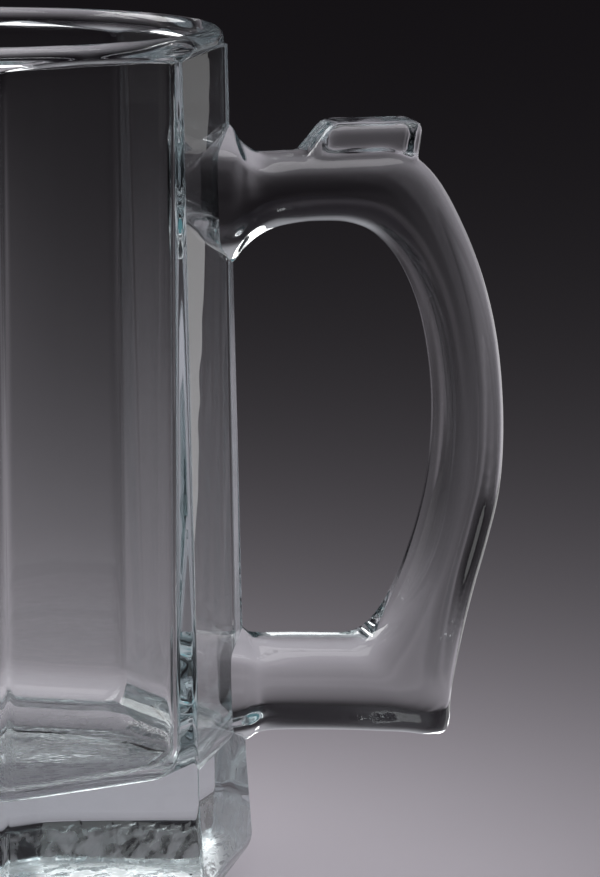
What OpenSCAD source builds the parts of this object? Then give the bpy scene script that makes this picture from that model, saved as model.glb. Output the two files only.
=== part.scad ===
/* [Bowl] */
// Height from the table to the top of the lip
mug_h = 143; // [120:1:170]
// Outside diameter of the lip
lip_d = 84; // [76:1:96]
// Thickness of the rounded lip
lip_t = 3.8; // [3:0.2:5]
// Height of the plain round band below the lip
band_h = 3.5; // [3:0.1:6]
// How far the corners between panels stand out past the lip
shoulder_out = 1.2; // [0.4:0.1:3]
// Drop of the sloping shoulder below the lip band
shoulder_h = 0.6; // [0.4:0.1:3]
// Number of flat panels round the body
panel_count = 8; // [7:1:10]
// Depth to which the panels cut past the meeting of their corners
land_cut = 0.3; // [0.1:0.05:0.8]
// How much wider the body is above the foot flare than at the shoulder
body_taper = 2.8; // [0:0.2:6]

/* [Foot] */
// Height at which the foot begins to flare
flare_h = 22; // [16:1:36]
// How far the foot flares out below that
flare_out = 1; // [0.2:0.1:3]
// Height of the widest place of the foot
foot_h = 8.6; // [7:0.2:12]
// Radius that turns the foot under
foot_r = 4.8; // [3:0.2:5.6]
// Slope of the bevel under the foot, from upright
foot_bevel = 38.7; // [25:0.5:50]
// Width of the flat ring that the mug stands on
ring_w = 5; // [3:0.5:8]
// Depth of the recess inside the standing ring
punt_h = 1.2; // [0.6:0.1:3]
// Radius that turns the standing ring up into the recess
punt_r = 1; // [0.5:0.1:2]

/* [Cavity] */
// Thickness of the solid base below the cavity
base_t = 24.5; // [16:0.5:32]
// Thickness of the wall at the middle of a panel, at the top
wall_t = 2.4; // [2:0.1:3.6]
// How much narrower the cavity is at its floor than at the top, on each side
cavity_draft = 0.5; // [0.2:0.1:2]
// Radius of the upright corners inside
cavity_edge_r = 4; // [2:0.5:8]
// Depth over which the flat walls run out into the round mouth
mouth_h = 5; // [4:0.5:9]
// Radius between the cavity's wall and its floor
cavity_corner_r = 6; // [3:0.5:10]
// Depth of the dish in the cavity's floor
floor_dish = 0.8; // [0.2:0.1:2]

/* [Handle] */
// Reach of the grip from the middle of the mug
handle_reach = 88.5; // [82:0.5:96]
// Height of the underside of the lower arm
handle_low = 26.3; // [24:0.5:34]
// Height of the top of the upper arm
handle_top = 122; // [116:0.5:126]
// Width of the handle across the grip
grip_w = 17; // [14:0.5:22]
// Width of the handle where it is fused to the body
weld_w = 18.5; // [17.5:0.5:26]
// Roundness of the grip's section, 2 is an ellipse and more is squarer
grip_square = 3.4; // [2.4:0.1:4]

/* [Thumb rest] */
// Height of the thumb rest above the upper arm
thumb_h = 4.9; // [3:0.1:8]
// Length of its flat top
thumb_l = 15.4; // [10:0.2:20]
// Length of the ramp on the side of the body
thumb_ramp = 3.8; // [2:0.2:8]
// Width of its flat top
thumb_w = 11.4; // [8:0.2:13]
// How much wider its foot is than its top, on each side
thumb_draft = 0.9; // [0.2:0.1:2]
// Radius on the two ends of its top
thumb_r = 1.4; // [0.4:0.1:2.4]

/* [Hidden] */
glass = [0.80, 0.86, 0.86, 0.45];
over = 2;
step_deg = 360 / panel_count;
half_deg = step_deg / 2;
half_cos = cos(half_deg);

// Radii of the round body from which the panels are cut
lip_r = lip_d / 2;
lip_round = lip_t / 2;
band_z = mug_h - band_h;
shoulder_z = band_z - shoulder_h;
shoulder_r = lip_r + shoulder_out;
flare_r = shoulder_r + body_taper;
foot_max_r = flare_r + flare_out;
turn_z = foot_h - foot_r * sin(foot_bevel);
turn_r = foot_max_r - foot_r * (1 - cos(foot_bevel));
stand_r = turn_r - turn_z * tan(foot_bevel);
ring_r = stand_r * half_cos - land_cut;

// Distance of a panel from the axis, where the round body has the radius r
function flat_of(r) = (r + land_cut) * half_cos;

// Points on an arc from one angle to another, n steps
function arc(cx, cz, r, a0, a1, n) = [for (i = [0 : n])
    let (a = a0 + (a1 - a0) * i / n) [cx + r * cos(a), cz + r * sin(a)]];

arc_steps = 8;
fine = 128;
far = foot_max_r + lip_t;
stagger = 0.2;

// The round turn from the bevel under the foot up to its widest place
function foot_turn() = arc(foot_max_r - foot_r, foot_h, foot_r, -foot_bevel, 0, arc_steps);

// Outside of the round body and lip, closed along the axis
function body_outline() = concat(
    [[0, 0], [stand_r, 0]],
    foot_turn(),
    [[flare_r, flare_h], [shoulder_r, shoulder_z], [lip_r, band_z]],
    arc(lip_r - lip_round, mug_h - lip_round, lip_round, 0, 90, arc_steps),
    [[0, mug_h]]);

// Cavity: dished floor, round corner, drafted wall and the inner half of the lip.
// It is turned as far out as its upright corners reach, and flat walls then close it in.
mouth_z = mug_h - lip_round - mouth_h;
wall_top = flat_of(shoulder_r) - wall_t;
wall_foot = wall_top - cavity_draft;
corner_z = base_t + cavity_corner_r;
floor_flat_share = 0.4;
function edge_of(flat) = (flat - cavity_edge_r) / half_cos + cavity_edge_r;
function cavity_outline() = concat(
    [[0, base_t - floor_dish],
        [floor_flat_share * (wall_foot - cavity_corner_r), base_t - floor_dish],
        [wall_foot - cavity_corner_r, base_t]],
    arc(edge_of(wall_foot) - cavity_corner_r, corner_z, cavity_corner_r, -90, 0, arc_steps),
    [[edge_of(wall_top), mouth_z]],
    arc(lip_r - lip_round, mug_h - lip_round, lip_round, 180, 90, arc_steps),
    [[lip_r - lip_round, mug_h + over], [0, mug_h + over]]);

// Everything outside one flat wall of the cavity, drawn as distance from the axis and
// height. Its facets stand a little lower than the round corner's, so that none meet.
function wall_outline() = concat(
    [[wall_foot - cavity_corner_r, base_t - over]],
    arc(wall_foot - cavity_corner_r, corner_z - stagger, cavity_corner_r, -90, 0, arc_steps),
    [[wall_top, mouth_z - stagger], [lip_r, mug_h], [far, mug_h], [far, base_t - over]]);

// Recess under the base, inside the standing ring
punt_out_r = ring_r - ring_w;
function punt_outline() = concat(
    [[0, -over], [punt_out_r, -over], [punt_out_r, 0]],
    arc(punt_out_r - punt_r, 0, punt_r, 0, 90, arc_steps),
    [[0, punt_h]]);

// Everything outside one flat panel, drawn as distance from the axis and height.
// Its facets stand a little higher than the round foot's, so that no corners meet,
// and its top curves out in a cove that runs into the foot of the lip band.
cove_rise = 0.6;
cove_out = 0.8;
cove_r = lip_r + cove_out - flat_of(shoulder_r);
cove_z = band_z + cove_rise;
function panel_outline() = concat(
    [[flat_of(stand_r - over * tan(foot_bevel)), stagger - over]],
    [for (p = foot_turn()) [flat_of(p[0]), p[1] + stagger]],
    [[flat_of(flare_r), flare_h + stagger]],
    arc(flat_of(shoulder_r) + cove_r, cove_z - cove_r, cove_r, 180, 90, arc_steps),
    [[far, cove_z], [far, stagger - over]]);

// One upright slab of an outline for each panel
module at_panels() {
    for (i = [0 : panel_count - 1])
        rotate([0, 0, half_deg + i * step_deg])
            rotate([90, 0, 0])
                linear_extrude(height = 2 * far, center = true) children();
}

// The pressed body before its cavity: round, with flat panels all round it
module pressed_body() {
    difference() {
        rotate_extrude($fn = fine) polygon(body_outline());
        at_panels() polygon(panel_outline());
    }
}

module cavity() {
    difference() {
        rotate_extrude($fn = fine) polygon(cavity_outline());
        at_panels() polygon(wall_outline());
    }
}

module bowl() {
    color(glass)
    difference() {
        pressed_body();
        cavity();
        rotate_extrude($fn = fine) polygon(punt_outline());
    }
}

// Stations along the handle, from the upper weld round to the lower weld.
// Each has a point on the inside and one on the outside of the loop, as shares
// of the reach beyond the body and of the height between the two arms.
root_r = shoulder_r;
reach_l = handle_reach - root_r;
loop_h = handle_top - handle_low;
inner_shares = [
    [-0.14, 0.800], [0.00, 0.806], [0.06, 0.838], [0.14, 0.868], [0.24, 0.880],
    [0.33, 0.882], [0.42, 0.879], [0.51, 0.864], [0.59, 0.833], [0.655, 0.790],
    [0.71, 0.730], [0.745, 0.660], [0.765, 0.580], [0.765, 0.500], [0.745, 0.415],
    [0.705, 0.335], [0.65, 0.262], [0.585, 0.202], [0.52, 0.168], [0.45, 0.155],
    [0.36, 0.156], [0.25, 0.158], [0.15, 0.160], [0.08, 0.166], [0.04, 0.180],
    [-0.10, 0.200]];
outer_shares = [
    [-0.14, 1.060], [0.00, 1.050], [0.04, 1.022], [0.11, 1.000], [0.22, 0.998],
    [0.35, 0.998], [0.50, 1.000], [0.64, 0.998], [0.75, 0.955], [0.845, 0.875],
    [0.92, 0.785], [0.97, 0.690], [0.995, 0.590], [1.00, 0.490], [0.985, 0.405],
    [0.945, 0.325], [0.895, 0.240], [0.85, 0.150], [0.815, 0.060], [0.79, -0.016],
    [0.62, -0.012], [0.40, -0.004], [0.18, 0.000], [0.10, -0.006], [0.06, -0.022],
    [-0.10, -0.040]];
width_shares = [
    1, 1, 0.6, 0.15, 0, 0, 0, 0, 0, 0, 0, 0, 0, 0, 0, 0, 0, 0, 0, 0,
    0, 0, 0.1, 0.4, 0.9, 1];

last = len(inner_shares) - 1;
ring_steps = 3;
ring_count = last * ring_steps + 1;
ring_points = 32;

// A smooth curve through a table of values
function at(table, i) = table[max(0, min(last, i))];
function blend(a, b, c, d, t) = (2 * b + (c - a) * t + (2 * a - 5 * b + 4 * c - d) * t * t
    + (3 * b - a - 3 * c + d) * t * t * t) / 2;
function along(table, s) = let (i = min(last - 1, floor(s)))
    blend(at(table, i - 1), at(table, i), at(table, i + 1), at(table, i + 2), s - i);
function place(share) = [root_r + share[0] * reach_l, handle_low + share[1] * loop_h];

// One ring of the section: a rounded oblong between the inside and outside points
function bulge(v) = sign(v) * pow(abs(v), 2 / grip_square);
function ring(s) = let (
    inside = place(along(inner_shares, s)),
    outside = place(along(outer_shares, s)),
    half_w = (grip_w + (weld_w - grip_w) * along(width_shares, s)) / 2)
    [for (k = [0 : ring_points - 1]) let (
        a = 360 * k / ring_points,
        p = (inside + outside) / 2 + (outside - inside) / 2 * bulge(cos(a)))
        [p[0], half_w * bulge(sin(a)), p[1]]];

module grip_loop() {
    n = ring_points;
    m = ring_count;
    points = [for (j = [0 : m - 1]) each ring(j / ring_steps)];
    sides = [for (j = [0 : m - 2]) for (k = [0 : n - 1]) let (
        a = j * n + k, b = j * n + (k + 1) % n) each [[a, b, b + n], [a, b + n, a + n]]];
    first_cap = [for (k = [1 : n - 2]) [0, k + 1, k]];
    last_cap = [for (k = [1 : n - 2]) [(m - 1) * n, (m - 1) * n + k, (m - 1) * n + k + 1]];
    polyhedron(points = points, faces = concat(sides, first_cap, last_cap));
}

// Thumb rest: a low block on the upper arm, its sides and its inner end sloping
thumb_end_share = 0.70;
thumb_sink_share = 0.05;
thumb_seat_share = 0.037;
module thumb_rest() {
    end_x = root_r + thumb_end_share * reach_l;
    base_z = handle_top - thumb_sink_share * loop_h;
    seat_z = handle_top - thumb_seat_share * loop_h;
    top_z = handle_top + thumb_h;
    ramp = thumb_ramp * (top_z - base_z) / thumb_h;
    side = thumb_draft * (top_z - base_z) / thumb_h;
    start_x = end_x - thumb_l;
    slope = atan(thumb_h / thumb_ramp);
    foot_half = thumb_w / 2 + side;
    intersection() {
        rotate([90, 0, 0])
            linear_extrude(height = 2 * foot_half, center = true)
                polygon(concat(
                    [[start_x - ramp, base_z], [end_x - side, base_z], [end_x, seat_z]],
                    arc(end_x - thumb_r, top_z - thumb_r, thumb_r, 0, 90, arc_steps),
                    arc(start_x + thumb_r * tan(slope / 2), top_z - thumb_r, thumb_r,
                        90, 90 + slope, arc_steps)));
        translate([start_x - ramp, 0, 0])
            rotate([90, 0, 90])
                linear_extrude(height = thumb_l + ramp)
                    polygon([[-foot_half, base_z], [foot_half, base_z],
                        [thumb_w / 2, top_z], [-thumb_w / 2, top_z]]);
    }
}

module handle() {
    color(glass)
    difference() {
        union() {
            grip_loop();
            thumb_rest();
        }
        pressed_body();
    }
}

bowl();
handle();
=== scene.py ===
from math import atan2, cos, floor, hypot, pi, radians, sin, sqrt, tan

import bmesh
import bpy
from mathutils import Matrix, Quaternion, Vector


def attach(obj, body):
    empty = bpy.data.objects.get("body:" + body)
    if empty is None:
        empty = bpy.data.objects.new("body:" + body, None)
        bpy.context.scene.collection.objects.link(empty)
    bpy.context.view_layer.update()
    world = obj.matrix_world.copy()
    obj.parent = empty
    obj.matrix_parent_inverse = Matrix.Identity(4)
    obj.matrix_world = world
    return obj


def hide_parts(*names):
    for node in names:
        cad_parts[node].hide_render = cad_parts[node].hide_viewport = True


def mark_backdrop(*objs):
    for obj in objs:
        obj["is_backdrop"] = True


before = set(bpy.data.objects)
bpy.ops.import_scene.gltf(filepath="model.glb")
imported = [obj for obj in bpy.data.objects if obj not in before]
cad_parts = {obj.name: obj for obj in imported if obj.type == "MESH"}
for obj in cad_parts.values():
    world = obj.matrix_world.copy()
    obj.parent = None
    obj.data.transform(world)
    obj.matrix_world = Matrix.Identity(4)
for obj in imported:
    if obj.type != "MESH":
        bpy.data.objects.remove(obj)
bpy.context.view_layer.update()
MM = 0.001

# Bowl, in millimetres and degrees
MUG_H = 143
LIP_R = 42
LIP_T = 3.8
BAND_H = 2.9
SHOULDER_OUT = 1.2
SHOULDER_SLOPE = 2.2
PANELS = 8
BODY_TAPER = 2.8
EDGE_R = 1.8
FLARE_H = 22
FLARE_OUT = 1
FOOT_H = 8.6
FOOT_R = 4.8
FOOT_BEVEL = 38.7
RING_W = 5
RECESS_H = 1.2
RECESS_R = 1
COVE_RISE = 0.6
COVE_OUT = 0.8
COVE_H = 1.3
SOFT_EDGE = 0.5
BASE_T = 24.5
CAVITY_TOP = 38.1
CAVITY_FOOT = 37.3
CAVITY_CORNER_R = 6
CAVITY_EDGE_R = 4
MOUTH_DEPTH = 2
FLOOR_DISH = 0.8

# Handle, in millimetres
REACH = 88.5
ARM_LOW = 26.3
ARM_TOP = 122
GRIP_W = 17
WELD_W = 18.5
GRIP_SQUARE = 3.4
FIN_THIN = 0.75
FIN_FROM = 0.55
THUMB_H = 4.9
THUMB_L = 15.4
THUMB_RAMP = 3.8
THUMB_W = 11.4
THUMB_DRAFT = 0.9
THUMB_END_SHARE = 0.70
THUMB_SINK = 4.8
THUMB_EDGE = 1.7
THUMB_LEAN_SHARE = 0.4
WELD_SINK = 0.4

# Mesh of the lathed bowl: its columns, how far they crowd at the corners, and the rows of each stretch
COLUMNS = 384
COLUMN_EASE = 0.86
RING_ROWS = 5
BEVEL_ROWS = 6
TURN_ROWS = 14
FLARE_ROWS = 6
WALL_ROWS = 30
SHOULDER_ROWS = 22
BAND_ROWS = 10
LIP_ROWS = 14
MOUTH_ROWS = 16
CAVITY_ROWS = 34
CORNER_ROWS = 16
DISH_ROWS = 10
RECESS_ROWS = 8

# In millimetres: how far below the cove its fine rows begin, how far rows keep clear of the band's lower
# edge, and the middle of the cavity's floor, which stays as turned
SHOULDER_LEAD = 1
BAND_GAP = 0.02
FLOOR_MIDDLE_R = 1

# Mesh of the handle: steps between stations, points round a section, steps over the thumb rest's edges,
# voxels in millimetres, and the smoothing
RING_STEPS = 5
RING_POINTS = 64
THUMB_EDGE_STEPS = 4
VOXEL = 0.33
SMOOTH_PASSES = 20
SMOOTH_FACTOR = 0.5

# How near to each other points are merged, in millimetres
LATHE_MERGE = 1e-4
SKIN_MERGE = 1e-3
HALVES_MERGE = 2e-3
PLANE_MERGE = 1e-5

# Marks of the mould, in millimetres: slow waves, and how many times stronger they are at the floor
WAVE = 11
WAVE_DEPTH = 0.012
FLOOR_WAVES = 7

# Stipple on the foot, in millimetres: its grain and depth, then its ragged upper edge
STIPPLE = 1.6
STIPPLE_DEPTH = 0.15
STIPPLE_TOP = 5.9
STIPPLE_FADE = 1.2
STIPPLE_RAGGED = 4

# Patches of frost in the stipple: their size against its grain, the values of the noise between which
# they begin, the share of frost outside of them, and the roughness inside
BLOT_SCALE = 0.55
FROST_RANGE = (0.38, 0.6)
FROST_LEAST = 0.25
FROST = 0.5

# Glass: colour at the surface, bending of light, and colour and strength of its body
GLASS_TINT = (0.985, 0.993, 0.99, 1)
GLASS_IOR = 1.52
GLASS_BODY = (0.52, 0.66, 0.68, 1)
GLASS_DENSITY = 6.0

STEP = 2 * pi / PANELS
HALF = STEP / 2
SHOULDER_R = LIP_R + SHOULDER_OUT
FLARE_R = SHOULDER_R + BODY_TAPER
FOOT_MAX_R = FLARE_R + FLARE_OUT
BAND_Z = MUG_H - BAND_H
LIP_ROUND = LIP_T / 2
TURN_Z = FOOT_H - FOOT_R * sin(radians(FOOT_BEVEL))
TURN_R = FOOT_MAX_R - FOOT_R * (1 - cos(radians(FOOT_BEVEL)))
STAND_R = TURN_R - TURN_Z * tan(radians(FOOT_BEVEL))
RING_IN_R = STAND_R * cos(HALF) - RING_W


def arc(cx, cz, r, start, end, steps):
    """Points on an arc, with its angles in degrees."""
    angles = [radians(start + (end - start) * i / steps) for i in range(steps + 1)]
    return [(cx + r * cos(a), cz + r * sin(a)) for a in angles]


def rows(start, end, steps):
    """Points along a straight line, both ends included."""
    return [tuple(a + (b - a) * i / steps for a, b in zip(start, end)) for i in range(steps + 1)]


def soft_min(a, b, width):
    """The lesser of two lengths, rounded over where they are nearly the same."""
    near = max(width - abs(a - b), 0)
    return min(a, b) - near * near / (4 * width)


def smooth(share):
    """Eases a share of the way from 0 to 1."""
    share = min(max(share, 0), 1)
    return share * share * (3 - 2 * share)


def flat_of(corner_r):
    """Distance of a flat panel from the axis, where its rounded corners have the radius corner_r."""
    return (corner_r - EDGE_R) * cos(HALF) + EDGE_R


COVE_R = LIP_R + COVE_OUT - flat_of(SHOULDER_R)
COVE_TOP = BAND_Z + COVE_RISE
COVE_FOOT = COVE_TOP - COVE_H


def octagon_r(flat, angle, edge_r):
    """Radius of an octagon with rounded corners, at an angle from the nearest corner."""
    centre = (flat - edge_r) / cos(HALF)
    if angle < atan2(edge_r * sin(HALF), centre + edge_r * cos(HALF)):
        return centre * cos(angle) + sqrt(edge_r ** 2 - (centre * sin(angle)) ** 2)
    return flat / cos(HALF - angle)


def off_corner(v):
    """Angle of a vertex from the nearest corner."""
    angle = atan2(v.co.y, v.co.x) % STEP
    return min(angle, STEP - angle)


def eased(angle):
    """An angle moved towards the nearest corner, so that columns crowd at the rounded corners."""
    sector = floor(angle / STEP)
    share = angle / STEP - sector
    return (sector + share - COLUMN_EASE * sin(2 * pi * share) / (2 * pi)) * STEP


def lathe(outline):
    """A closed turn of an outline of (radius, height) points round the axis."""
    bm = bmesh.new()
    verts = [bm.verts.new((r, 0, z)) for r, z in outline]
    edges = [bm.edges.new(pair) for pair in zip(verts, verts[1:])]
    bmesh.ops.spin(bm, geom=verts + edges, cent=(0, 0, 0), axis=(0, 0, 1),
                   angle=2 * pi, steps=COLUMNS, use_merge=True)
    bmesh.ops.remove_doubles(bm, verts=bm.verts, dist=LATHE_MERGE)
    for v in bm.verts:
        r, angle = hypot(v.co.x, v.co.y), eased(atan2(v.co.y, v.co.x) % (2 * pi))
        v.co.x, v.co.y = r * cos(angle), r * sin(angle)
    return bm


def press_panels(bm):
    """Moves the turned outside in to the flat panels, up to the cove under the lip band."""
    for v in bm.verts:
        r, z = hypot(v.co.x, v.co.y), v.co.z
        if z >= COVE_TOP or r < RING_IN_R + RING_W / 2:
            continue
        round_r, flat = r, flat_of(r)
        if z > BAND_Z:
            flat = flat_of(SHOULDER_R)
        else:
            round_r = LIP_R + (BAND_Z - z) * SHOULDER_SLOPE
        if z > COVE_FOOT:
            flat += COVE_R * (1 - sqrt(max(1 - ((z - COVE_FOOT) / COVE_H) ** 2, 0)))
        wide = octagon_r(flat, off_corner(v), EDGE_R)
        pressed = soft_min(round_r, wide, SOFT_EDGE) if z > COVE_FOOT - COVE_H else wide
        v.co.x, v.co.y = v.co.x * pressed / r, v.co.y * pressed / r


def press_cavity(bm):
    """Gives the turned cavity its flat walls, which run out into the round mouth."""
    for v in bm.verts:
        r, z = hypot(v.co.x, v.co.y), v.co.z
        if r < FLOOR_MIDDLE_R:
            continue
        below = smooth((MUG_H - LIP_ROUND - z) / MOUTH_DEPTH)
        edge_r = r * (1 - below * (1 - CAVITY_EDGE_R / CAVITY_TOP))
        wide = octagon_r(r, off_corner(v), edge_r)
        v.co.x, v.co.y = v.co.x * wide / r, v.co.y * wide / r


def outside_outline():
    """Standing ring, bevelled foot, wall, lip band and the outer half of the lip."""
    foot_turn = arc(FOOT_MAX_R - FOOT_R, FOOT_H, FOOT_R, -FOOT_BEVEL, 0, TURN_ROWS)
    shoulder = (SHOULDER_R, COVE_FOOT - SHOULDER_LEAD)
    return (rows((RING_IN_R, 0), (STAND_R, 0), RING_ROWS)[:-1]
            + rows((STAND_R, 0), foot_turn[0], BEVEL_ROWS)[:-1]
            + foot_turn
            + rows((FOOT_MAX_R, FOOT_H), (FLARE_R, FLARE_H), FLARE_ROWS)[1:]
            + rows((FLARE_R, FLARE_H), shoulder, WALL_ROWS)[1:]
            + rows(shoulder, (SHOULDER_R, BAND_Z - BAND_GAP), SHOULDER_ROWS)[1:]
            + rows((LIP_R, BAND_Z + BAND_GAP), (LIP_R, MUG_H - LIP_ROUND), BAND_ROWS)
            + arc(LIP_R - LIP_ROUND, MUG_H - LIP_ROUND, LIP_ROUND, 0, 90, LIP_ROWS)[1:])


def inside_outline():
    """Inner half of the lip, mouth, cavity, its round corner and the dished floor, over a flat wall."""
    floor_r = CAVITY_FOOT - CAVITY_CORNER_R
    corner = arc(floor_r, BASE_T + CAVITY_CORNER_R, CAVITY_CORNER_R, 0, -90, CORNER_ROWS)
    lip = arc(LIP_R - LIP_ROUND, MUG_H - LIP_ROUND, LIP_ROUND, 90, 180, LIP_ROWS)
    mouth_r, mouth_z = lip[-1]
    mouth = [(mouth_r - (mouth_r - CAVITY_TOP) * smooth(i / MOUTH_ROWS),
              mouth_z - MOUTH_DEPTH * i / MOUTH_ROWS) for i in range(1, MOUTH_ROWS + 1)]
    dish = [(floor_r * (1 - i / DISH_ROWS), BASE_T - FLOOR_DISH * (1 - (1 - i / DISH_ROWS) ** 2))
            for i in range(1, DISH_ROWS + 1)]
    return lip + mouth + rows(mouth[-1], corner[0], CAVITY_ROWS)[1:] + corner[1:] + dish


def recess_outline():
    """The shallow recess inside the standing ring."""
    turn = arc(RING_IN_R - RECESS_R, 0, RECESS_R, 0, 90, RECESS_ROWS)
    crown = rows(turn[-1], (0, RECESS_H), RECESS_ROWS)
    return turn + crown[1:]


def solid(name, bm, size=MM):
    """Makes a smooth-shaded object of a bmesh that is drawn in millimetres, or in units of size."""
    bmesh.ops.recalc_face_normals(bm, faces=bm.faces)
    bmesh.ops.scale(bm, vec=(size,) * 3, verts=bm.verts)
    mesh = bpy.data.meshes.new(name)
    bm.to_mesh(mesh)
    bm.free()
    for face in mesh.polygons:
        face.use_smooth = True
    piece = bpy.data.objects.new(name, mesh)
    bpy.context.scene.collection.objects.link(piece)
    return piece


def modified_mesh(piece):
    """A piece's mesh with its modifiers applied."""
    bpy.context.view_layer.update()
    return bpy.data.meshes.new_from_object(piece.evaluated_get(bpy.context.evaluated_depsgraph_get()))


def make_bowl():
    """The outside, the cavity and the recess below, as one closed mesh."""
    outside = lathe(outside_outline())
    press_panels(outside)
    for outline in (inside_outline(), recess_outline()):
        part = lathe(outline)
        if outline[0][1] > BASE_T:
            press_cavity(part)
        mesh = bpy.data.meshes.new("part")
        part.to_mesh(mesh)
        part.free()
        outside.from_mesh(mesh)
        bpy.data.meshes.remove(mesh)
    bmesh.ops.remove_doubles(outside, verts=outside.verts, dist=SKIN_MERGE)
    return solid("glass_bowl", outside)


# Stations round the handle's loop, as shares of its reach and of its height, from the upper weld to
# the lower one; then how far each section has widened to the weld, and how far it has thinned to a fin
INNER_SHARES = [
    (-0.14, 0.800), (0.00, 0.806), (0.06, 0.838), (0.14, 0.868), (0.24, 0.880),
    (0.33, 0.882), (0.42, 0.879), (0.51, 0.864), (0.59, 0.833), (0.655, 0.790),
    (0.71, 0.730), (0.745, 0.660), (0.765, 0.580), (0.765, 0.500), (0.745, 0.415),
    (0.705, 0.335), (0.65, 0.262), (0.585, 0.202), (0.52, 0.168), (0.45, 0.155),
    (0.36, 0.156), (0.25, 0.158), (0.15, 0.160), (0.08, 0.166), (0.04, 0.180),
    (-0.10, 0.200)]
OUTER_SHARES = [
    (-0.14, 1.060), (0.00, 1.050), (0.04, 1.022), (0.11, 1.000), (0.22, 0.998),
    (0.35, 0.998), (0.50, 1.000), (0.64, 0.998), (0.75, 0.955), (0.845, 0.875),
    (0.92, 0.785), (0.97, 0.690), (0.995, 0.590), (1.00, 0.490), (0.985, 0.405),
    (0.945, 0.325), (0.895, 0.240), (0.85, 0.150), (0.815, 0.060), (0.79, -0.016),
    (0.62, -0.012), (0.40, -0.004), (0.18, 0.000), (0.10, -0.006), (0.06, -0.022),
    (-0.10, -0.040)]
WIDTH_SHARES = [1, 1, 0.6, 0.15] + [0] * 18 + [0.1, 0.4, 0.9, 1]
FIN_SHARES = [1, 1, 0.8, 0.3] + [0] * 18 + [0.1, 0.5, 1, 1]


def along(table, s):
    """A smooth curve through a table of points, at the station s."""
    i = min(int(s), len(table) - 2)
    a, b, c, d = (Vector(table[max(0, min(len(table) - 1, k))]) for k in range(i - 1, i + 3))
    t = s - i
    return (2 * b + (c - a) * t + (2 * a - 5 * b + 4 * c - d) * t * t
            + (3 * b - a - 3 * c + d) * t ** 3) / 2


def place(share):
    """A point of the handle's mid-plane, from its shares of the reach and the height."""
    return Vector((SHOULDER_R + share.x * (REACH - SHOULDER_R), 0,
                   ARM_LOW + share.y * (ARM_TOP - ARM_LOW)))


def bulge(v):
    """Turns a circle into the handle's rounded oblong."""
    return (1 if v > 0 else -1) * abs(v) ** (2 / GRIP_SQUARE)


def add_ring(bm, s):
    """One section of the handle at the station s, as a loop of edges."""
    inside, outside = place(along(INNER_SHARES, s)), place(along(OUTER_SHARES, s))
    wide = along([(w, 0) for w in WIDTH_SHARES], s).x
    half_w = (GRIP_W + (WELD_W - GRIP_W) * wide) / 2
    fin = FIN_THIN * along([(w, 0) for w in FIN_SHARES], s).x
    made = bmesh.ops.create_circle(bm, segments=RING_POINTS, radius=1)["verts"]
    for v in made:
        angle = atan2(v.co.y, v.co.x)
        rise = bulge(cos(angle))
        v.co = (inside + outside) / 2 + (outside - inside) / 2 * rise
        v.co.y = half_w * bulge(sin(angle)) * (1 - fin * smooth((abs(rise) - FIN_FROM) / (1 - FIN_FROM)))
    return made


def ring_edges(verts):
    """The edges between the vertices of a section."""
    return list({e for v in verts for e in v.link_edges if e.other_vert(v) in verts})


def loop_solid(bm):
    """The loop of the handle, from the upper weld round to the lower weld."""
    count = (len(INNER_SHARES) - 1) * RING_STEPS
    before = add_ring(bm, 0)
    first = ring_edges(before)
    for k in range(1, count + 1):
        after = add_ring(bm, k / RING_STEPS)
        last = ring_edges(after)
        bmesh.ops.bridge_loops(bm, edges=ring_edges(before)[:RING_POINTS] + last)
        before = after
    bmesh.ops.holes_fill(bm, edges=first + last, sides=0)


def thumb_solid(bm):
    """The thumb rest: a low block with a ramp towards the bowl and rounded edges."""
    base_z, top_z = ARM_TOP - THUMB_SINK, ARM_TOP + THUMB_H
    rise = (top_z - base_z) / THUMB_H
    end_x = SHOULDER_R + THUMB_END_SHARE * (REACH - SHOULDER_R)
    start_x = end_x - THUMB_L
    block = bmesh.ops.create_cube(bm, size=1)["verts"]
    for v in block:
        low = v.co.z < 0
        half = THUMB_W / 2 + (THUMB_DRAFT * rise if low else 0)
        inner = start_x - (THUMB_RAMP * rise if low else 0)
        outer = end_x - (THUMB_SINK * THUMB_LEAN_SHARE if low else 0)
        v.co = (inner if v.co.x < 0 else outer, half * (-1 if v.co.y < 0 else 1), base_z if low else top_z)
    edges = list({e for v in block for e in v.link_edges})
    bmesh.ops.bevel(bm, geom=edges, offset=THUMB_EDGE, offset_type="OFFSET",
                    segments=THUMB_EDGE_STEPS, profile=0.5, affect="EDGES", material=-1)


def cut_to_panel(bm, wall_in):
    """Keeps the half at +Y, cut off a little inside the panel that it is fused to, and closes both ends."""
    rise = Vector((0, 0, BAND_Z - FLARE_H))
    low, high = flat_of(FLARE_R) - wall_in, flat_of(SHOULDER_R) - wall_in
    out = Vector((cos(HALF), sin(HALF), 0))
    up = out * (high - low) + rise
    normal = up.cross(Vector((-out.y, out.x, 0)))
    normal *= -1 if normal.dot(out) < 0 else 1
    for point, way in ((Vector((0, 0, 0)), Vector((0, 1, 0))),
                       (out * low + Vector((0, 0, FLARE_H)), normal.normalized())):
        geom = list(bm.verts) + list(bm.edges) + list(bm.faces)
        cut = bmesh.ops.bisect_plane(bm, geom=geom, dist=PLANE_MERGE, plane_co=point, plane_no=way,
                                     clear_inner=True)
    rims = [g for g in cut["geom_cut"] if isinstance(g, bmesh.types.BMEdge)]
    for is_upper in (True, False):
        rim = [e for e in rims if (e.verts[0].co.z > (ARM_LOW + ARM_TOP) / 2) == is_upper]
        ends = sorted((v for v in {v for e in rim for v in e.verts} if abs(v.co.y) < SKIN_MERGE),
                      key=lambda v: v.co.z)
        rim.append(bm.edges.new((ends[0], ends[-1])))
        bmesh.ops.triangle_fill(bm, edges=rim, use_beauty=True)


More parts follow.
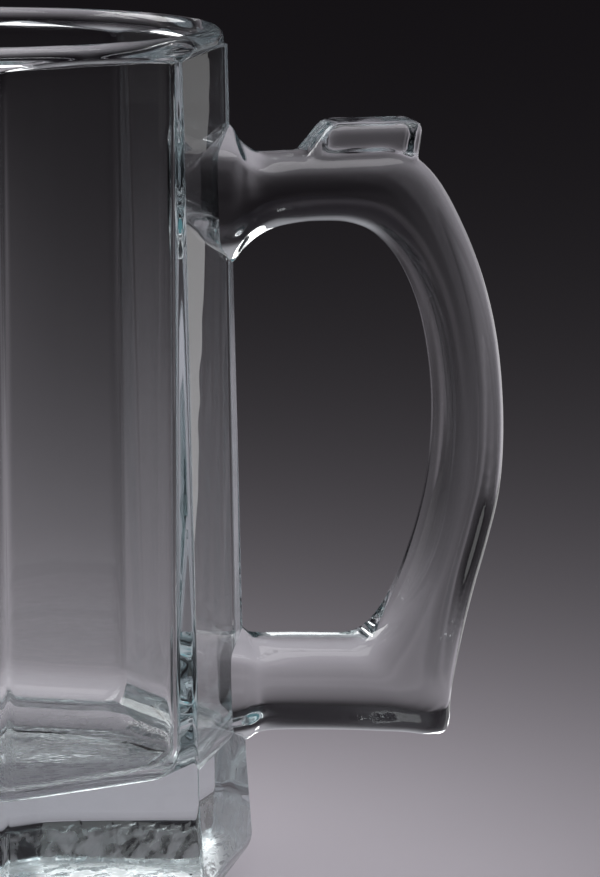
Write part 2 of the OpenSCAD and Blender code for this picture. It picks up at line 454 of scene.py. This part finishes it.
def make_handle():
    """The loop and the thumb rest, run together, cut to the bowl and made the same on both sides."""
    rough = bmesh.new()
    loop_solid(rough)
    thumb_solid(rough)
    piece = solid("handle_rough", rough)
    merge = piece.modifiers.new("merge", "REMESH")
    merge.mode, merge.voxel_size = "VOXEL", VOXEL * MM
    soften = piece.modifiers.new("soften", "SMOOTH")
    soften.factor, soften.iterations = SMOOTH_FACTOR, SMOOTH_PASSES
    merged = modified_mesh(piece)
    bm = bmesh.new()
    bm.from_mesh(merged)
    bmesh.ops.scale(bm, vec=(1 / MM,) * 3, verts=bm.verts)
    bpy.data.objects.remove(piece)
    bpy.data.meshes.remove(merged)
    cut_to_panel(bm, WELD_SINK)
    geom = list(bm.verts) + list(bm.edges) + list(bm.faces)
    bmesh.ops.mirror(bm, geom=geom, matrix=Matrix.Identity(4), merge_dist=SKIN_MERGE, axis="Y")
    bmesh.ops.remove_doubles(bm, verts=bm.verts, dist=HALVES_MERGE)
    return solid("glass_handle", bm)


def fuse(bowl, handle):
    """Joins the pieces into one skin and parts it at the welds, so that no surface is left in the glass."""
    join = bowl.modifiers.new("join", "BOOLEAN")
    join.operation, join.solver, join.material_mode = "UNION", "EXACT", "TRANSFER"
    join.object = handle
    skin = modified_mesh(bowl)
    bowl.modifiers.remove(join)
    for piece in (bowl, handle):
        bm = bmesh.new()
        bm.from_mesh(skin)
        own = skin.materials.find(piece.data.materials[0].name)
        bmesh.ops.delete(bm, geom=[f for f in bm.faces if f.material_index != own], context="FACES")
        for face in bm.faces:
            face.material_index = 0
        bm.to_mesh(piece.data)
        bm.free()
    bpy.data.meshes.remove(skin)


# Where a Mix node keeps its two colours and its result
MIX_NONE = 6
MIX_FULL = 7
MIX_RESULT = 2


def feed(tree, socket, value):
    """Sets an input to a value, or links it to another node's output."""
    if isinstance(value, bpy.types.NodeSocket):
        tree.links.new(value, socket)
    else:
        socket.default_value = value


def node(tree, kind, **inputs):
    """Adds a node and feeds its inputs."""
    made = tree.nodes.new(kind)
    for name, value in inputs.items():
        feed(tree, made.inputs[name.replace("_", " ")], value)
    return made


def calculate(tree, operation, a, b=0.0):
    """What a math node makes of two values or of other nodes' outputs."""
    made = tree.nodes.new("ShaderNodeMath")
    made.operation = operation
    for socket, value in zip(made.inputs, (a, b)):
        feed(tree, socket, value)
    return made.outputs[0]


def ramp(tree, value, start, end, low=0.0, high=1.0, course="SMOOTHSTEP"):
    """Takes a value from low to high while it goes from start to end."""
    made = node(tree, "ShaderNodeMapRange", Value=value,
                From_Min=start, From_Max=end, To_Min=low, To_Max=high)
    made.interpolation_type = course
    return made.outputs[0]


def blend(tree, share, none, full):
    """A colour between two, by a share from another node."""
    made = tree.nodes.new("ShaderNodeMix")
    made.data_type = "RGBA"
    tree.links.new(share, made.inputs["Factor"])
    made.inputs[MIX_NONE].default_value, made.inputs[MIX_FULL].default_value = none, full
    return made.outputs[MIX_RESULT]


def blank(name):
    """A new material with an empty node tree, and that tree."""
    material = bpy.data.materials.new(name)
    material.use_nodes = True
    material.node_tree.nodes.clear()
    return material, material.node_tree


def pressing_marks():
    """What the mould leaves: slow waves, stronger round the floor, and a stippled, frosted foot."""
    group = bpy.data.node_groups.new("pressing_marks", "ShaderNodeTree")
    for name in ("Wave Size", "Wave Depth", "Stipple Size", "Stipple Depth"):
        group.interface.new_socket(name=name, in_out="INPUT", socket_type="NodeSocketFloat")
    for name in ("Height", "Roughness"):
        group.interface.new_socket(name=name, in_out="OUTPUT", socket_type="NodeSocketFloat")
    given, made = group.nodes.new("NodeGroupInput"), group.nodes.new("NodeGroupOutput")
    place_in = group.nodes.new("ShaderNodeTexCoord").outputs["Object"]
    wave = node(group, "ShaderNodeTexNoise", Vector=place_in, Detail=1.0,
                Scale=calculate(group, "DIVIDE", 1.0, given.outputs["Wave Size"]))
    grain = node(group, "ShaderNodeTexNoise", Vector=place_in, Detail=1.5,
                 Scale=calculate(group, "DIVIDE", 1.0, given.outputs["Stipple Size"]))
    split = node(group, "ShaderNodeSeparateXYZ", Vector=place_in)
    blot = node(group, "ShaderNodeTexNoise", Vector=place_in, Detail=2.0,
                Scale=calculate(group, "DIVIDE", BLOT_SCALE, given.outputs["Stipple Size"]))
    ragged = calculate(group, "SUBTRACT", blot.outputs["Fac"], 0.5)
    ragged = calculate(group, "MULTIPLY", ragged, STIPPLE_RAGGED * MM)
    low = ramp(group, calculate(group, "ADD", split.outputs["Z"], ragged),
               STIPPLE_TOP * MM, (STIPPLE_TOP - STIPPLE_FADE) * MM)
    patch = ramp(group, blot.outputs["Fac"], *FROST_RANGE, FROST_LEAST, 1.0, "LINEAR")
    deep = ramp(group, split.outputs["Z"], (BASE_T + CAVITY_CORNER_R) * MM, BASE_T * MM, 1.0, FLOOR_WAVES)
    slow = calculate(group, "MULTIPLY", wave.outputs["Fac"], given.outputs["Wave Depth"])
    slow = calculate(group, "MULTIPLY", slow, deep)
    fine = calculate(group, "MULTIPLY", grain.outputs["Fac"], given.outputs["Stipple Depth"])
    fine = calculate(group, "MULTIPLY", fine, low)
    group.links.new(calculate(group, "ADD", slow, fine), made.inputs["Height"])
    frost = calculate(group, "MULTIPLY", patch, FROST)
    group.links.new(calculate(group, "MULTIPLY", frost, low), made.inputs["Roughness"])
    return group


def glass(name, marks, stipple_depth):
    """Clear pressed glass with a faint blue-green body."""
    material, tree = blank(name)
    relief = tree.nodes.new("ShaderNodeGroup")
    relief.node_tree = marks
    for mark, value in (("Wave Size", WAVE * MM), ("Wave Depth", WAVE_DEPTH),
                        ("Stipple Size", STIPPLE * MM), ("Stipple Depth", stipple_depth)):
        relief.inputs[mark].default_value = value
    bump = node(tree, "ShaderNodeBump", Height=relief.outputs["Height"], Strength=1.0, Distance=MM)
    shader = node(tree, "ShaderNodeBsdfPrincipled", Base_Color=GLASS_TINT, Normal=bump.outputs["Normal"],
                  Roughness=relief.outputs["Roughness"], IOR=GLASS_IOR, Transmission_Weight=1.0)
    body = node(tree, "ShaderNodeVolumeAbsorption", Color=GLASS_BODY, Density=GLASS_DENSITY)
    out = tree.nodes.new("ShaderNodeOutputMaterial")
    tree.links.new(shader.outputs[0], out.inputs["Surface"])
    tree.links.new(body.outputs[0], out.inputs["Volume"])
    return material


# Stage, in metres and degrees: a floor under the mug, and painted pools of light that fall off into the
# dark, each with its place, half width, half length, turn, fall-off and share
FLOOR_R = 4
FLOOR_SIDES = 96
FLOOR_Z = -0.0001
POOLS = [((0, 0), 0.10, 0.10, 0, 2.05, 1), ((-0.23, 0.20), 0.16, 0.16, 0, 4, 0.6),
         ((0.045, 0.549), 0.03, 0.32, -7, 4, 0.09), ((-0.19, 0.56), 0.075, 0.28, 21, 4, 0.5),
         ((0.1, -0.62), 0.30, 0.30, 0, 4, 0.22), ((0.05, -0.34), 0.12, 0.12, 0, 4, 0.8)]
# Painted colour of the floor in the full light of the pools, and its painted dark far from them
POOL_COLOUR = (0.655, 0.61, 0.675, 1)
FAR_COLOUR = (0.0056, 0.0047, 0.0058, 1)

# World: the surround that is seen, dark below and bright overhead, how high it brightens, and the soft
# light on matt surfaces
DARK = (0.0075, 0.0065, 0.0085, 1)
SKY = (0.55, 0.56, 0.60, 1)
SKY_RISE = (0.25, 0.95)
AMBIENT = (1.0, 1.0, 1.0, 1)

# How many times light may pass through a surface or be mirrored by one
BOUNCES = 48

# Lamps, in metres and watts: name, place, width and height, power, and the point they look at
LAMPS = [("back_softbox", (-0.40, 0.65, 0.71), (0.55, 0.45), 3, (0, 0, 0.07)),
         ("top_softbox", (0.1, -0.1, 1.1), (0.9, 0.9), 4, (0, 0, 0.07)),
         ("left_wall", (-0.70, 0.15, 0.30), (0.70, 0.50), 0.11, (0.08, 0, 0.07)),
         ("back_wall", (-0.45, 0.62, 0.22), (0.60, 0.42), 0.065, (0, 0, 0.10))]

# Two cards, one above the other, that the panel beside the handle mirrors. Together they lean like one
# board: its pivot, the way its lower end goes, the way from the glass to it, its lean in degrees and its
# width. Then the height, middle and power of each card
CARD_PIVOT = (0.1542, 0.0732, 0.07)
CARD_ACROSS = (0.886, -0.463, 0)
CARD_BACK = (0.0888, 0.1209, 0)
CARD_LEAN = 4.5
CARD_W = 0.08
CARDS = [(0.105, 0.0475, 0.0165), (0.045, 0.1225, 0.0035)]

# Camera, in metres, degrees and millimetres of lens
CAMERA_AT = (-0.09456, -0.79439, 0.20877)
CAMERA_HEADING = 10.673
CAMERA_PITCH = 9.436
CAMERA_LENS = 204.70
CAMERA_SENSOR = 36
CAMERA_RANGE = (0.05, 20)


def floor_material():
    """A matt floor, with the sum of the pools of light painted into its colour."""
    material, tree = blank("floor")
    place_in = tree.nodes.new("ShaderNodeTexCoord").outputs["Object"]
    light = 0.0
    for (x, y), half_x, half_y, turn, power, share in POOLS:
        spread = node(tree, "ShaderNodeMapping", Vector=place_in)
        spread.vector_type = "TEXTURE"
        spread.inputs["Location"].default_value = (x, y, 0)
        spread.inputs["Rotation"].default_value = (0, 0, radians(turn))
        spread.inputs["Scale"].default_value = (half_x, half_y, 1)
        away = tree.nodes.new("ShaderNodeVectorMath")
        away.operation = "LENGTH"
        tree.links.new(spread.outputs[0], away.inputs[0])
        reach = calculate(tree, "POWER", away.outputs["Value"], power)
        pool = calculate(tree, "DIVIDE", share, calculate(tree, "ADD", reach, 1.0))
        light = calculate(tree, "ADD", pool, light)
    # Painted light: the pools brighten the floor's own colour, since the lamps do not light matt surfaces
    tint = blend(tree, light, FAR_COLOUR, POOL_COLOUR)
    shader = node(tree, "ShaderNodeBsdfPrincipled", Base_Color=tint, Roughness=1.0, Specular_IOR_Level=0.0)
    out = tree.nodes.new("ShaderNodeOutputMaterial")
    tree.links.new(shader.outputs[0], out.inputs["Surface"])
    return material


def make_floor():
    """A wide round floor just under the mug."""
    bm = bmesh.new()
    bmesh.ops.create_circle(bm, cap_ends=True, segments=FLOOR_SIDES, radius=FLOOR_R,
                            matrix=Matrix.Translation((0, 0, FLOOR_Z)))
    floor_piece = solid("floor", bm, 1)
    floor_piece.data.materials.append(floor_material())
    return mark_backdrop(floor_piece)


def make_world():
    """Soft light for the surfaces, and a dark surround that brightens overhead for what glass shows."""
    world = bpy.data.worlds.new("studio")
    bpy.context.scene.world = world
    world.use_nodes = True
    tree = world.node_tree
    tree.nodes.clear()
    way = tree.nodes.new("ShaderNodeSeparateXYZ")
    tree.links.new(tree.nodes.new("ShaderNodeTexCoord").outputs["Generated"], way.inputs[0])
    sky = blend(tree, ramp(tree, way.outputs["Z"], *SKY_RISE), DARK, SKY)
    shown = node(tree, "ShaderNodeBackground", Color=sky)
    fill = node(tree, "ShaderNodeBackground", Color=AMBIENT)
    path = tree.nodes.new("ShaderNodeLightPath")
    seen = calculate(tree, "MAXIMUM", path.outputs["Is Camera Ray"], path.outputs["Is Glossy Ray"])
    seen = calculate(tree, "MAXIMUM", seen, path.outputs["Is Transmission Ray"])
    mix = node(tree, "ShaderNodeMixShader", Fac=seen)
    tree.links.new(fill.outputs[0], mix.inputs[1])
    tree.links.new(shown.outputs[0], mix.inputs[2])
    out = tree.nodes.new("ShaderNodeOutputWorld")
    tree.links.new(mix.outputs[0], out.inputs["Surface"])


def softbox(name, at, size, power, aim, roll=0):
    """A rectangular lamp that looks at a point, hidden from the camera and from matt surfaces."""
    lamp = bpy.data.lights.new(name, "AREA")
    lamp.shape, lamp.size, lamp.size_y, lamp.energy = "RECTANGLE", size[0], size[1], power
    piece = bpy.data.objects.new(name, lamp)
    piece.location = at
    piece.rotation_euler = ((Vector(aim) - Vector(at)).to_track_quat("-Z", "Y")
                            @ Quaternion((0, 0, 1), radians(roll))).to_euler()
    piece.visible_camera = piece.visible_diffuse = False
    bpy.context.scene.collection.objects.link(piece)
    return piece


def side_cards():
    """Two bright cards beside the handle, hidden from light that has passed through the glass."""
    for height, z, power in CARDS:
        lean = (CARD_PIVOT[2] - z) * tan(radians(CARD_LEAN))
        at = Vector((CARD_PIVOT[0] + CARD_ACROSS[0] * lean,
                     CARD_PIVOT[1] + CARD_ACROSS[1] * lean, z))
        card = softbox("side_card", at, (CARD_W, height), power, at - Vector(CARD_BACK), -CARD_LEAN)
        card.visible_transmission = False


def make_camera():
    """The photograph's view of the mug."""
    data = bpy.data.cameras.new("camera")
    data.lens, data.sensor_width = CAMERA_LENS, CAMERA_SENSOR
    data.clip_start, data.clip_end = CAMERA_RANGE
    camera = bpy.data.objects.new("camera", data)
    heading, pitch = radians(CAMERA_HEADING), radians(CAMERA_PITCH)
    ahead = Vector((sin(heading) * cos(pitch), cos(heading) * cos(pitch), -sin(pitch)))
    camera.location = CAMERA_AT
    camera.rotation_euler = ahead.to_track_quat("-Z", "Y").to_euler()
    bpy.context.scene.collection.objects.link(camera)
    bpy.context.scene.camera = camera


make_camera()
make_floor()
make_world()
for name, at, size, power, aim in LAMPS:
    softbox(name, at, size, power, aim)
side_cards()

marks = pressing_marks()
bowl, handle = make_bowl(), make_handle()
bowl.data.materials.append(glass("bowl_glass", marks, STIPPLE_DEPTH))
handle.data.materials.append(glass("handle_glass", marks, 0))
fuse(bowl, handle)
for piece, node_name in ((bowl, "bowl"), (handle, "handle")):
    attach(piece, "root")
    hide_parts(node_name)

scene = bpy.context.scene
scene.view_settings.view_transform = "Standard"
scene.cycles.max_bounces = BOUNCES
scene.cycles.transmission_bounces = BOUNCES
scene.cycles.glossy_bounces = BOUNCES
